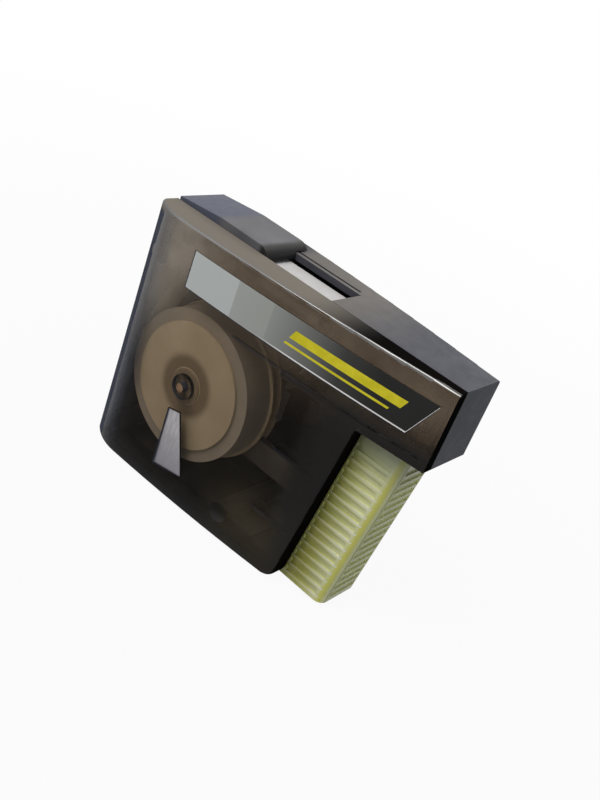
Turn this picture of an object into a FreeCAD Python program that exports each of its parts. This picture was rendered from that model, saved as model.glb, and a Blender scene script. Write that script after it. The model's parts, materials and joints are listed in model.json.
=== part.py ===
import FreeCAD, Part
import math
import os
import re
import Sketcher

# A hand-held cassette cleaner for fibre optic connector ends. Cleaning tape runs from a supply
# reel, under an open window in the top, to a take-up reel behind it on the same axle. Pressing the
# ribbed trigger drives a rack and pinion whose pawls turn the take-up reel on.
#
# Frame: X along the length with the trigger at +X, -Y is the labelled front, +Z is up, and the
# origin is at the bottom, halfway along and halfway through. Sizes are in millimetres.

doc = FreeCAD.newDocument("ConnectorCleaner")

SIZES = {
    # Housing
    "length": 110,
    "height": 83.5,
    "wall": 2,
    "left_bow": 4.7,
    "right_bow": 7.1,
    "peak_x": 12.6,
    "body_x": 89,
    "bar_z": 59,
    "lean": 6.4,
    "part_gap": 0.15,
    "foot_corner": 5,
    "edge_round": 1,
    "cut_over": 1,
    # Window, channel and shutter in the top
    "channel_room": 1.7,
    "channel_drop": 0.5,
    "window_left": 38,
    "window_right": 63.2,
    "window_depth": 2.4,
    "shutter_gap": 0.3,
    "shutter_start": 0.9,
    "shutter_rise": 2.3,
    "shutter_crest": 18,
    "shutter_level": 2.1,
    "shutter_back": 12.4,
    "shutter_roll": 4,
    "shutter_lip": 0.4,
    "shutter_floor": 1.7,
    "foot_thick": 0.7,
    "foot_reach": 1.2,
    "guide_behind": 1.4,
    "guide_wide": 1,
    "guide_deep": 0.8,
    "guide_end": 1.5,
    "tongue_wide": 0.4,
    "tongue_deep": 0.5,
    # Reels and their axle
    "reel_left_room": 3,
    "reel_z": 35.9,
    "axle_radius": 1.5,
    "run_fit": 0.06,
    "press_gap": 0.05,
    "end_gap": 0.2,
    "reel_room": 1.04,
    "flange_radius": 25,
    "outer_flange_radius": 20,
    "flange_thick": 0.7,
    "tape_width": 10.4,
    "tape_gap": 0.2,
    "reel_inner": 1.5,
    "supply_hub_radius": 6,
    "supply_roll_radius": 24,
    "takeup_hub_radius": 11,
    "takeup_roll_radius": 14.5,
    "axle_boss_radius": 4,
    "axle_bore_depth": 2.4,
    "washer_radius": 5.6,
    "washer_thick": 0.5,
    # Drive, with tooth heights in modules
    "tooth_module": 1,
    "pinion_teeth": 12,
    "pressure_angle": 25,
    "root_depth": 1.25,
    "rack_tooth_high": 0.85,
    "bite": 0.3,
    "backlash": 0.12,
    "drive_half": 1.2,
    "spigot_radius": 3,
    "pawl_ring_radius": 5,
    "pawl_reach": 8.1,
    "pawl_thick": 2.4,
    "pawl_gap": 0.3,
    "pawl_arm": 0.9,
    "pawl_angle": 50,
    "pawl_root_angle": 12,
    "pawl_count": 2,
    "ratchet_radius": 9.7,
    "ratchet_tip": 8.6,
    "ratchet_teeth": 24,
    "ratchet_share": 0.8,
    "ratchet_depth": 4,
    # Trigger and rack
    "trigger_out": 104.8,
    "trigger_room": 1,
    "trigger_half": 9.1,
    "trigger_foot": 1.2,
    "trigger_top_gap": 0.6,
    "trigger_wall": 1.6,
    "trigger_corner": 3,
    "trigger_travel": 12,
    "slide_gap": 0.35,
    "groove_deep": 0.6,
    "groove_high": 2.1,
    "groove_pitch": 3.25,
    "groove_count": 16,
    "groove_start": 2,
    "groove_gap": 0.5,
    "rail_low": 17,
    "rail_high": 38,
    "rail_thick": 1.5,
    "lug_long": 2,
    "lug_reach": 2.1,
    "rack_bar": 8.4,
    "rack_end": 0.6,
    "rack_lead": 4,
    "rack_teeth": 11,
    # Return spring
    "spring_z": 46,
    "spring_radius": 3.2,
    "spring_wire": 0.8,
    "spring_turns": 5,
    "spring_facets": 6,
    "seat_room": 3.5,
    "seat_thick": 2,
    "seat_half": 5,
    # Tape path
    "tape_thick": 0.2,
    "ribbon_gap": 0.7,
    "pin_radius": 2,
    "pin_end_radius": 1.2,
    "pin_end_long": 4,
    "left_pin_x": 16,
    "right_pin_x": 68,
    "pin_room": 1.2,
    "pin_boss_radius": 2.4,
    "platen_inset": 1.5,
    "platen_over": 2,
    "platen_high": 3.4,
    "wing_thick": 1.7,
    "pad_thick": 1,
    "ledge_lap": 3.2,
    "ledge_thick": 2,
    # Screws
    "screw_radius": 1,
    "screw_boss_radius": 3.3,
    "screw_head_radius": 2.2,
    "screw_head_high": 1.6,
    "screw_head_room": 0.3,
    "screw_seat": 9,
    "screw_bite": 3.4,
    "screw_end_gap": 0.4,
    "screw_left_x": 7,
    "screw_left_low": 8,
    "screw_left_drop": 14,
    "screw_mid_x": 57,
    "screw_mid_low": 7,
    "screw_right_end": 7,
    "screw_right_drop": 13,
    # Labels and the line under them
    "label_left": 21.6,
    "label_end": 3.1,
    "label_slant": 5.8,
    "label_rise": 7.2,
    "label_drop": 5.7,
    "label_thick": 0.3,
    "label_sunk": 0.45,
    "label_room": 0.2,
    "label_lift": 0.1,
    "gauge_inner": 7.5,
    "gauge_outer": 27.4,
    "gauge_half_inner": 2.25,
    "gauge_half_outer": 5.8,
    "gauge_angle": -78.5,
    "line_left": 43,
    "line_end": 3,
    "line_rise": 2.6,
    "line_high": 0.6,
    "line_deep": 0.4,
}

# Screw places, from the left end and from the foot
SCREWS = [
    ("screw_left_x", "screw_left_low"),
    ("screw_left_x", "(height - screw_left_drop)"),
    ("screw_mid_x", "screw_mid_low"),
    ("(length - screw_right_end)", "(height - screw_right_drop)"),
]

sheet = doc.addObject("Spreadsheet::Sheet", "Size")
for row, (alias, value) in enumerate(SIZES.items(), start=1):
    sheet.set(f"A{row}", alias)
    sheet.set(f"B{row}", str(value))
    sheet.setAlias(f"B{row}", alias)
doc.recompute()

probe = doc.addObject("App::FeaturePython", "Probe")
probe.addProperty("App::PropertyFloat", "Value")

FUNCTIONS = {"sqrt", "sin", "cos", "tan", "pi", "max"}


def bound(text):
    """An expression over the sheet, from text that uses the names of its cells."""
    def cell(word):
        return word[0] if word[0] in FUNCTIONS else "Size." + word[0]
    return re.sub(r"[a-z]\w*", cell, text)


def number(text):
    """The value of such a text with the sheet's present sizes."""
    probe.setExpression("Value", bound(text))
    probe.recompute()
    return probe.Value


# Names for places that several pieces share
LEFT = "(-length / 2)"
RIGHT = "(length / 2)"
PEAK = f"({LEFT} + peak_x)"
LEFT_RADIUS = "((peak_x ^ 2 + left_bow ^ 2) / (2 * left_bow))"
RIGHT_RADIUS = "(((length - peak_x) ^ 2 + right_bow ^ 2) / (2 * right_bow))"
BODY_RIGHT = f"({LEFT} + body_x)"
REEL_X = f"({LEFT} + wall + reel_left_room + flange_radius)"
REEL_OUT = "(reel_inner + 2 * flange_thick + 2 * tape_gap + tape_width)"
BOSS_FACE = f"({REEL_OUT} + washer_thick)"
# The case is as thick as leaves the outer flanges room at their right, where the wall comes nearest
PEAK_HALF = (f"({REEL_OUT} + reel_room + {RIGHT_RADIUS}"
             f" - sqrt(({RIGHT_RADIUS} - wall) ^ 2 - ({REEL_X} + outer_flange_radius - {PEAK}) ^ 2))")
PITCH_RADIUS = "(tooth_module * pinion_teeth / 2)"
PITCH_Z = f"(reel_z - {PITCH_RADIUS})"
TOOTH_PITCH = "(pi * tooth_module)"
CHANNEL_HALF = "(tape_width / 2 + channel_room)"
# The shells part along the front side of the channel, with a hairline between their walls
FRONT_EDGE = f"({CHANNEL_HALF} + part_gap)"
REAR_EDGE = f"(-{CHANNEL_HALF})"
PLATEN_HALF = f"({CHANNEL_HALF} - platen_inset)"
PIN_FACE = f"({CHANNEL_HALF} - shutter_gap + foot_reach + pin_room)"
TAPE_TOP = "(height - window_depth)"
TAPE_BED = f"({TAPE_TOP} - tape_thick - press_gap)"
PLATEN_TOP = f"({TAPE_BED} - pad_thick)"
PLATEN_LOW = f"({PLATEN_TOP} - platen_high)"
PLATEN_LEFT = f"({LEFT} + window_left - platen_over)"
PLATEN_RIGHT = f"({LEFT} + window_right + platen_over)"
PIN_Z = f"({TAPE_BED} - pin_radius)"
SHUTTER_LOW = "(height - shutter_floor)"
GUIDE_NEAR = f"({CHANNEL_HALF} + guide_behind)"
SEAT_X = f"({REEL_X} + flange_radius + seat_room + seat_thick)"
TRIGGER_OUT = f"({LEFT} + trigger_out)"
TRIGGER_TOP = "(bar_z - trigger_top_gap)"
GUIDE_FACE = "(trigger_half + slide_gap)"

# Points nearer than this are the same point
TOUCH = 0.001


def half_right(x, inset="0"):
    """Half thickness right of the thickest place, at x, for a surface inset from the outside."""
    return (f"({PEAK_HALF} - {RIGHT_RADIUS}"
            f" + sqrt(({RIGHT_RADIUS} - {inset}) ^ 2 - ({x} - {PEAK}) ^ 2))")


def half_left(x, inset="0"):
    """The same left of the thickest place."""
    return (f"({PEAK_HALF} - {LEFT_RADIUS}"
            f" + sqrt(({LEFT_RADIUS} - {inset}) ^ 2 - ({x} - {PEAK}) ^ 2))")


def body_edge(z):
    """The body's right edge at a height under the bar: it leans in towards the foot."""
    return f"({BODY_RIGHT} - lean * (1 - {z} / bar_z))"


def trigger_face(z):
    """The trigger's outer face at a height, leaning as the body's edge does."""
    return f"({TRIGGER_OUT} - lean * (1 - {z} / bar_z))"


# The length of the leaning edge from the foot to the bar
EDGE_LONG = "sqrt(lean ^ 2 + bar_z ^ 2)"
# The trigger's inner end, just behind its lugs but clear of the spring's seat when it is pressed, and
# how far in the shells leave it a way
TRIGGER_IN = (f"max({body_edge('rail_low')} - wall - slide_gap - lug_long - trigger_room;"
              f" {SEAT_X} + trigger_travel + trigger_room)")
TRIGGER_WAY = f"({TRIGGER_IN} - trigger_travel - slide_gap)"


# How far the platen's wings and the ledges under them reach from the middle plane
WING_END = f"({half_right(PLATEN_RIGHT, 'wall')} - slide_gap)"
LEDGE_FACE = f"({WING_END} - ledge_lap)"


# Bodies that only cut others and aren't pieces themselves
tools = []


def new_body(label):
    body = doc.addObject("PartDesign::Body", label)
    body.Label = label
    return body


def cut_away(body, tool):
    """Cuts a tool body out of another body."""
    cut = body.newObject("PartDesign::Boolean", "Boolean")
    cut.Type = "Cut"
    cut.setObjects([tool])
    tools.append(tool)


def place(item, x="0", y="0", z="0"):
    for axis, text in zip("xyz", (x, y, z)):
        item.setExpression(f"Placement.Base.{axis}", bound(text))


def origin_item(body, role):
    """A plane or an axis of the body's own origin, as a link."""
    return next(item for item in body.Origin.OriginFeatures if item.Role == role), [""]


def new_sketch(body, plane, offset="0"):
    """A sketch on one of the body's own planes, moved along that plane's normal."""
    sketch = body.newObject("Sketcher::SketchObject", "Sketch")
    sketch.AttachmentSupport = origin_item(body, plane)
    sketch.MapMode = "FlatFace"
    sketch.setExpression("AttachmentOffset.Base.z", bound(offset))
    return sketch


def arc_between(start, end, radius, turn):
    """The shorter arc from start to end, turning left for +1 and right for -1."""
    chord = end - start
    normal = FreeCAD.Vector(-chord.y, chord.x, 0).normalize()
    centre = start + chord * 0.5 + normal * (turn * math.sqrt(radius ** 2 - chord.Length ** 2 / 4))
    first, last = (start, end) if turn > 0 else (end, start)
    angles = [math.atan2(p.y - centre.y, p.x - centre.x) for p in (first, last)]
    if angles[1] < angles[0]:
        angles[1] += 2 * math.pi
    return Part.ArcOfCircle(Part.Circle(centre, FreeCAD.Vector(0, 0, 1), radius), *angles)


def outline(sketch, corners):
    """A closed outline. A corner is (x, y), or (x, y, radius, turn) where an arc leads to it."""
    points = [FreeCAD.Vector(number(corner[0]), number(corner[1]), 0) for corner in corners]
    first = sketch.GeometryCount
    ends = []
    for index, corner in enumerate(corners):
        start, end = points[index - 1], points[index]
        if len(corner) == 2:
            sketch.addGeometry(Part.LineSegment(start, end))
            ends.append((1, 2))
        else:
            sketch.addGeometry(arc_between(start, end, number(corner[2]), corner[3]))
            ends.append((1, 2) if corner[3] > 0 else (2, 1))
    for index, corner in enumerate(corners):
        edge, after = first + index, first + (index + 1) % len(corners)
        tip = ends[index][1]
        sketch.addConstraint(Sketcher.Constraint(
            "Coincident", edge, tip, after, ends[(index + 1) % len(corners)][0]))
        for kind, text, at in (("DistanceX", corner[0], points[index].x),
                               ("DistanceY", corner[1], points[index].y)):
            size = sketch.addConstraint(Sketcher.Constraint(kind, -1, 1, edge, tip, at))
            sketch.setExpression(f"Constraints[{size}]", bound(text))
        if len(corner) == 4:
            size = sketch.addConstraint(Sketcher.Constraint("Radius", edge, number(corner[2])))
            sketch.setExpression(f"Constraints[{size}]", bound(corner[2]))
    return sketch


def rectangle(sketch, x0, y0, x1, y1):
    return outline(sketch, [(x0, y0), (x1, y0), (x1, y1), (x0, y1)])


def circle(sketch, x, y, radius):
    centre = FreeCAD.Vector(number(x), number(y), 0)
    edge = sketch.addGeometry(Part.Circle(centre, FreeCAD.Vector(0, 0, 1), number(radius)))
    for kind, text, at in (("DistanceX", x, centre.x), ("DistanceY", y, centre.y)):
        size = sketch.addConstraint(Sketcher.Constraint(kind, -1, 1, edge, 3, at))
        sketch.setExpression(f"Constraints[{size}]", bound(text))
    size = sketch.addConstraint(Sketcher.Constraint("Radius", edge, number(radius)))
    sketch.setExpression(f"Constraints[{size}]", bound(radius))
    return sketch


def feature(body, kind, sketch, length, reverse):
    """A Pad or Pocket of a sketch. reverse turns it from the kind's own way along the normal."""
    item = body.newObject(f"PartDesign::{kind}", kind)
    item.Profile = sketch
    item.Reversed = reverse
    if length is None:
        item.Type = "ThroughAll"
    else:
        item.setExpression("Length", bound(length))
    return item


def pad(body, sketch, length, reverse=False):
    return feature(body, "Pad", sketch, length, reverse)


def pocket(body, sketch, length=None, reverse=False):
    return feature(body, "Pocket", sketch, length, reverse)


def along(body, item, direction, pitch, count):
    """A row of copies of one feature along a direction."""
    doc.recompute()
    pattern = body.newObject("PartDesign::LinearPattern", "LinearPattern")
    pattern.Originals = [item]
    pattern.Direction = direction
    pattern.setExpression("Length", bound(f"({count} - 1) * {pitch}"))
    pattern.setExpression("Occurrences", bound(count))
    body.Tip = pattern


def around(body, item, count):
    """Copies of one feature all round the Y axis."""
    doc.recompute()
    pattern = body.newObject("PartDesign::PolarPattern", "PolarPattern")
    pattern.Originals = [item]
    pattern.Axis = origin_item(body, "Y_Axis")
    pattern.Angle = 360
    pattern.setExpression("Occurrences", bound(count))
    body.Tip = pattern


def polar(radius, angle):
    """The two coordinates of a point at a radius and an angle in degrees."""
    return f"({radius} * cos({angle}))", f"({radius} * sin({angle}))"


def turned(label, corners, x=REEL_X, z="reel_z"):
    """A piece turned about an axis along Y. Corners are (radius, y)."""
    body = new_body(label)
    sketch = outline(new_sketch(body, "XY_Plane"), corners)
    item = body.newObject("PartDesign::Revolution", "Revolution")
    item.Profile = sketch
    item.ReferenceAxis = (sketch, ["V_Axis"])
    item.Angle = 360
    place(body, x, "0", z)
    return body


def ring(label, inner, outer, y0, y1):
    return turned(label, [(inner, y0), (outer, y0), (outer, y1), (inner, y1)])


def round_edges(body, radius, chosen):
    """Rounds the edges of the body's present tip that chosen accepts."""
    doc.recompute()
    base = body.Tip
    names = [f"Edge{n}" for n, edge in enumerate(base.Shape.Edges, start=1) if chosen(edge)]
    item = body.newObject("PartDesign::Fillet", "Fillet")
    item.Base = (base, names)
    item.setExpression("Radius", bound(radius))


# Housing shells


def plan(sketch, side, x0, x1, inset):
    """One shell's plan between x0 and x1, from where the shells part to the bowed side."""
    turn = -side
    start = f"{side} * {edge_of(side)}"
    return outline(sketch, [
        (x0, start),
        (x0, f"{side} * {half_left(x0, inset)}"),
        (PEAK, f"{side} * ({PEAK_HALF} - {inset})", f"({LEFT_RADIUS} - {inset})", turn),
        (x1, f"{side} * {half_right(x1, inset)}", f"({RIGHT_RADIUS} - {inset})", turn),
        (x1, start),
    ])


def edge_of(side):
    """How far out a shell's edge lies on its own side of the middle plane."""
    return FRONT_EDGE if side < 0 else REAR_EDGE


def rib(body, side, face, x0, x1, low, high):
    """A level rib from a plane beside the middle to inside the bowed wall."""
    sketch = outline(new_sketch(body, "XY_Plane", low), [
        (x0, f"{side} * {face}"),
        (x0, f"{side} * {half_right(x0, 'wall / 2')}"),
        (x1, f"{side} * {half_right(x1, 'wall / 2')}", f"({RIGHT_RADIUS} - wall / 2)", -side),
        (x1, f"{side} * {face}"),
    ])
    pad(body, sketch, f"{high} - {low}")


def across(body, side, face):
    """A sketch on the plane that stands face away from the middle plane on one side."""
    return new_sketch(body, "XZ_Plane", f"{-side} * {face}")


def shell(label, side):
    body = new_body(label)
    inward = side > 0
    edge = edge_of(side)
    joint = CHANNEL_HALF if side < 0 else REAR_EDGE

    pad(body, plan(new_sketch(body, "XY_Plane"), side, LEFT, RIGHT, "0"), "height")
    foot = body_edge("0")
    bend = f"(foot_corner * ({EDGE_LONG} - lean) / bar_z)"
    cut = outline(across(body, side, edge), [
        (f"({foot} - {bend})", "-cut_over"),
        (f"({RIGHT} + cut_over)", "-cut_over"),
        (f"({RIGHT} + cut_over)", "bar_z"),
        (BODY_RIGHT, "bar_z"),
        (f"({foot} + {bend} * lean / {EDGE_LONG})", f"({bend} * bar_z / {EDGE_LONG})"),
        (f"({foot} - {bend})", "0", "foot_corner", -1),
    ])
    pocket(body, cut, None, not inward)
    round_edges(body, "edge_round", lambda item: is_outer_edge(item, side))
    cut_away(body, room(side))

    way = rectangle(across(body, side, edge), TRIGGER_WAY, "(trigger_foot - slide_gap)",
                    f"({BODY_RIGHT} + cut_over)", "bar_z")
    pocket(body, way, f"{GUIDE_FACE} - {edge}", not inward)

    for z in ("rail_low", "rail_high"):
        low, high = f"({z} - rail_thick / 2)", f"({z} + rail_thick / 2)"
        rib(body, side, GUIDE_FACE, TRIGGER_WAY, f"({body_edge(low)} - wall / 2)", low, high)
    rib(body, side, LEDGE_FACE, PLATEN_LEFT, PLATEN_RIGHT, f"({PLATEN_LOW} - ledge_thick)", PLATEN_LOW)

    boss = circle(across(body, side, BOSS_FACE), REEL_X, "reel_z", "axle_boss_radius")
    pad(body, boss, f"{half_right(REEL_X, 'wall / 2')} - {BOSS_FACE}", inward)
    bore = circle(across(body, side, BOSS_FACE), REEL_X, "reel_z", "(axle_radius + press_gap)")
    pocket(body, bore, "axle_bore_depth", not inward)

    for x in (f"({LEFT} + left_pin_x)", f"({LEFT} + right_pin_x)"):
        post = circle(across(body, side, PIN_FACE), x, PIN_Z, "pin_boss_radius")
        pad(body, post, f"{half_right(x, 'wall / 2')} - {PIN_FACE}", inward)
        hole = circle(across(body, side, PIN_FACE), x, PIN_Z, "(pin_end_radius + press_gap)")
        pocket(body, hole, "pin_end_long", not inward)

    for x, z in SCREWS:
        at = f"({LEFT} + {x})"
        half = half_left if number(x) < number("peak_x") else half_right
        post = circle(across(body, side, joint), at, z, "screw_boss_radius")
        pad(body, post, f"{half(at, 'wall / 2')} - {joint}", inward)
        hole = circle(across(body, side, joint), at, z, "(screw_radius + press_gap)")
        if side < 0:
            pocket(body, hole, "screw_bite", True)
        else:
            pocket(body, hole)
            head = circle(across(body, side, "screw_seat"), at, z, "(screw_head_radius + screw_head_room)")
            pocket(body, head)

    if side > 0:
        channel = rectangle(new_sketch(body, "XY_Plane", "height + cut_over"), f"({LEFT} - cut_over)",
                            f"({REAR_EDGE} - cut_over)", f"({LEFT} + window_right)", CHANNEL_HALF)
        pocket(body, channel, "cut_over + wall + channel_drop")
        guide = rectangle(new_sketch(body, "XY_Plane", "height"), f"({LEFT} + wall)", GUIDE_NEAR,
                          f"({LEFT} + window_right - guide_end)", f"({GUIDE_NEAR} + guide_wide)")
        pocket(body, guide, "guide_deep")
        seat = rectangle(across(body, side, "-seat_half"), f"({SEAT_X} - seat_thick)",
                         "(spring_z - seat_half)", SEAT_X, "(spring_z + seat_half)")
        pad(body, seat, f"{half_right(SEAT_X, 'wall / 2')} + seat_half", True)
    else:
        rib(body, side, GUIDE_FACE, SEAT_X, f"({BODY_RIGHT} - wall / 2)", "bar_z", "(bar_z + rail_thick)")
        label_recess(body)
        gauge_recess(body)
        face_line(body)


def room(side):
    """The room inside a shell: its plan one wall in, less what lies outside the leaning right wall."""
    tool = new_body("FrontRoom" if side < 0 else "RearRoom")
    inside = plan(new_sketch(tool, "XY_Plane", "wall"), side, f"({LEFT} + wall)", f"({RIGHT} - wall)", "wall")
    pad(tool, inside, "height - 2 * wall")
    low, high = "(-cut_over)", "(bar_z + wall)"
    below_bar = outline(across(tool, side, edge_of(side)), [
        (f"({body_edge(low)} - wall)", low),
        (f"({RIGHT} + cut_over)", low),
        (f"({RIGHT} + cut_over)", high),
        (f"({body_edge(high)} - wall)", high),
    ])
    pocket(tool, below_bar, None, side < 0)
    return tool


def is_outer_edge(edge, side):
    """The arcs along the top of the bowed face, and the leaning edge down the body's right side."""
    ends = [vertex.Point for vertex in edge.Vertexes]
    curved = isinstance(edge.Curve, Part.Circle)
    along_top = curved and all(abs(end.z - number("height")) < TOUCH for end in ends)
    outside = all(side * end.y > number(FRONT_EDGE) + TOUCH for end in ends)
    down_side = all(abs(end.x - number(body_edge(f"{end.z:.6f}"))) < TOUCH for end in ends)
    return along_top or (outside and down_side)


def bowed_block(body, x0, x1, low, high, deep, shallow):
    """A block between two depths under the bowed front face, right of its thickest place."""
    strip = outline(new_sketch(body, "XY_Plane", low), [
        (x0, f"-{half_right(x0, shallow)}"),
        (x1, f"-{half_right(x1, shallow)}", f"({RIGHT_RADIUS} - {shallow})", 1),
        (x1, f"-{half_right(x1, deep)}"),
        (x0, f"-{half_right(x0, deep)}", f"({RIGHT_RADIUS} - {deep})", -1),
    ])
    pad(body, strip, f"{high} - {low}")


def label_block(body, deep, shallow, grow):
    """The front label's block between two depths, cut off at a slant at the right."""
    x0, x1 = f"({LEFT} + label_left - {grow})", f"({RIGHT} - label_end + {grow})"
    x_low = f"({x1} - label_slant)"
    low, high = f"(bar_z + label_rise - {grow})", f"(height - label_drop + {grow})"
    bowed_block(body, x0, x1, low, high, deep, shallow)
    slant = outline(across(body, -1, "0"), [
        (x_low, f"({low} - cut_over)"),
        (f"({x1} + cut_over)", f"({low} - cut_over)"),
        (f"({x1} + cut_over)", high),
        (x1, high),
        (x_low, low),
    ])
    pocket(body, slant, None, True)


def label_recess(body):
    """The shallow seat of the label in the front face."""
    tool = new_body("LabelSeat")
    label_block(tool, "label_sunk", "(-cut_over)", "label_room")
    cut_away(body, tool)


def face_line(body):
    """A fine line cut along the front face, over the bar's lower edge."""
    tool = new_body("LineCut")
    low = "(bar_z + line_rise)"
    bowed_block(tool, f"({LEFT} + line_left)", f"({RIGHT} - line_end)", low, f"({low} + line_high)",
                "line_deep", "(-cut_over)")
    cut_away(body, tool)


# The flat that the wedge lies on, under the bowed face's lowest place there
GAUGE_RIGHT = f"({REEL_X} + gauge_outer * cos(gauge_angle) + gauge_half_outer)"
GAUGE_SEAT = f"({half_right(GAUGE_RIGHT)} - label_sunk)"


def gauge_corners(grow):
    """The wedge beside the reel's hub, narrow end inwards, along its own slant."""
    corners = []
    for reach, half in ((f"(gauge_inner - {grow})", f"(-gauge_half_inner - {grow})"),
                        (f"(gauge_outer + {grow})", f"(-gauge_half_outer - {grow})"),
                        (f"(gauge_outer + {grow})", f"(gauge_half_outer + {grow})"),
                        (f"(gauge_inner - {grow})", f"(gauge_half_inner + {grow})")):
        corners.append((
            f"({REEL_X} + {reach} * cos(gauge_angle) - {half} * sin(gauge_angle))",
            f"(reel_z + {reach} * sin(gauge_angle) + {half} * cos(gauge_angle))"))
    return corners


def gauge_recess(body):
    pocket(body, outline(across(body, -1, GAUGE_SEAT), gauge_corners("label_room")), None, True)


shell("front_shell", -1)
shell("rear_shell", 1)

# Labels on the front


def front_label():
    body = new_body("front_label")
    label_block(body, "(label_sunk - label_lift)", "(label_sunk - label_lift - label_thick)", "0")


def gauge_label():
    body = new_body("gauge_label")
    pad(body, outline(across(body, -1, GAUGE_SEAT), gauge_corners("0")), "label_thick")


front_label()
gauge_label()

# Shutter


def shutter():
    """A lid that slopes up to a crest, lies level and rolls down into the window.

    It runs in the channel with feet under the top walls. A wing behind it lies over the top, and
    its tongue runs in the groove there.
    """
    body = new_body("shutter")
    half = f"({CHANNEL_HALF} - shutter_gap)"
    x0, x1 = f"({LEFT} + shutter_gap)", f"({LEFT} + window_left)"
    roll = f"({x1} - shutter_roll)"
    profile = outline(across(body, -1, half), [
        (x0, SHUTTER_LOW),
        (x1, SHUTTER_LOW),
        (x1, f"({SHUTTER_LOW} + shutter_lip)"),
        (roll, "(height + shutter_level)", "shutter_roll", 1),
        (f"({LEFT} + shutter_crest)", "(height + shutter_rise)"),
        (x0, "(height + shutter_start)"),
    ])
    pad(body, profile, f"{half} + shutter_back", True)
    under_wing = rectangle(new_sketch(body, "XY_Plane", "height + shutter_gap"), f"({x0} - cut_over)", half,
                           f"({x1} + cut_over)", "(shutter_back + cut_over)")
    pocket(body, under_wing)
    foot_top = "(height - wall - shutter_gap)"
    foot_left = f"({LEFT} + wall + shutter_gap)"
    skirt_face = f"({PLATEN_HALF} + shutter_gap)"
    for side in (-1, 1):
        skirt = rectangle(across(body, side, skirt_face), foot_left, f"({foot_top} - foot_thick)", roll,
                          f"({SHUTTER_LOW} + foot_thick)")
        pad(body, skirt, f"{half} - {skirt_face}", side > 0)
        foot = rectangle(across(body, side, skirt_face), foot_left, f"({foot_top} - foot_thick)", roll,
                         foot_top)
        pad(body, foot, f"{half} - {skirt_face} + foot_reach", side > 0)
    tongue_near = f"({GUIDE_NEAR} + (guide_wide - tongue_wide) / 2)"
    tongue = rectangle(new_sketch(body, "XY_Plane", "height + shutter_gap + bite"), foot_left, tongue_near,
                       roll, f"({tongue_near} + tongue_wide)")
    pad(body, tongue, "shutter_gap + bite + tongue_deep", True)


shutter()

# Reels, washers and axle

NEAR = "reel_inner"
NEAR_FACE = "(reel_inner + flange_thick)"
FAR_FACE = f"({REEL_OUT} - flange_thick)"


def reel(name, side, hub_radius, roll_radius):
    sign = "-" if side < 0 else ""
    near_label, far_label = ("rear", "front") if side < 0 else ("front", "rear")
    core = f"({hub_radius} + press_gap)"
    ring(f"{name}_{near_label}_flange", core, "flange_radius", f"{sign}{NEAR}", f"{sign}{NEAR_FACE}")
    ring(f"{name}_{far_label}_flange", core, "outer_flange_radius", f"{sign}{FAR_FACE}", f"{sign}{REEL_OUT}")
    ring(f"{name}_tape_roll", core, roll_radius, f"{sign}({NEAR_FACE} + tape_gap)",
         f"{sign}({FAR_FACE} - tape_gap)")


reel("supply", -1, "supply_hub_radius", "supply_roll_radius")
reel("takeup", 1, "takeup_hub_radius", "takeup_roll_radius")
ring("supply_hub", "(axle_radius + run_fit)", "supply_hub_radius", f"-{NEAR}", f"-{REEL_OUT}")


def takeup_hub():
    """The hub behind, hollow towards the middle with a ring of ratchet teeth inside."""
    body = turned("takeup_hub", [
        ("(axle_radius + run_fit)", f"({NEAR} + ratchet_depth)"),
        ("ratchet_radius", f"({NEAR} + ratchet_depth)"),
        ("ratchet_radius", NEAR),
        ("takeup_hub_radius", NEAR),
        ("takeup_hub_radius", REEL_OUT),
        ("(axle_radius + run_fit)", REEL_OUT),
    ])
    back = "(360 / ratchet_teeth * ratchet_share)"
    root = "(ratchet_radius + bite)"
    tooth = outline(new_sketch(body, "XZ_Plane", f"-{NEAR}"), [
        ("ratchet_tip", "0"),
        (root, "0"),
        polar(root, back),
    ])
    item = pad(body, tooth, "ratchet_depth", True)
    around(body, item, "ratchet_teeth")


takeup_hub()

AXLE_END = f"({BOSS_FACE} + axle_bore_depth - end_gap)"
turned("reel_axle", [("0", f"-{AXLE_END}"), ("axle_radius", f"-{AXLE_END}"),
                     ("axle_radius", AXLE_END), ("0", AXLE_END)])
for name, sign in (("brake_washer", "-"), ("thrust_washer", "")):
    ring(name, "(axle_radius + press_gap)", "washer_radius", f"{sign}{REEL_OUT}", f"{sign}{BOSS_FACE}")

# Pinion, pawls and rack


def involute(radius):
    """Half the angle, in radians, that a pinion tooth spans at a radius."""
    flank = math.radians(number("pressure_angle"))
    base = number(PITCH_RADIUS) * math.cos(flank)
    here = math.acos(min(1.0, base / radius))
    half_pitch = math.pi / (2 * number("pinion_teeth")) - number("backlash") / (2 * number(PITCH_RADIUS))
    return half_pitch + (math.tan(flank) - flank) - (math.tan(here) - here)


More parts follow.
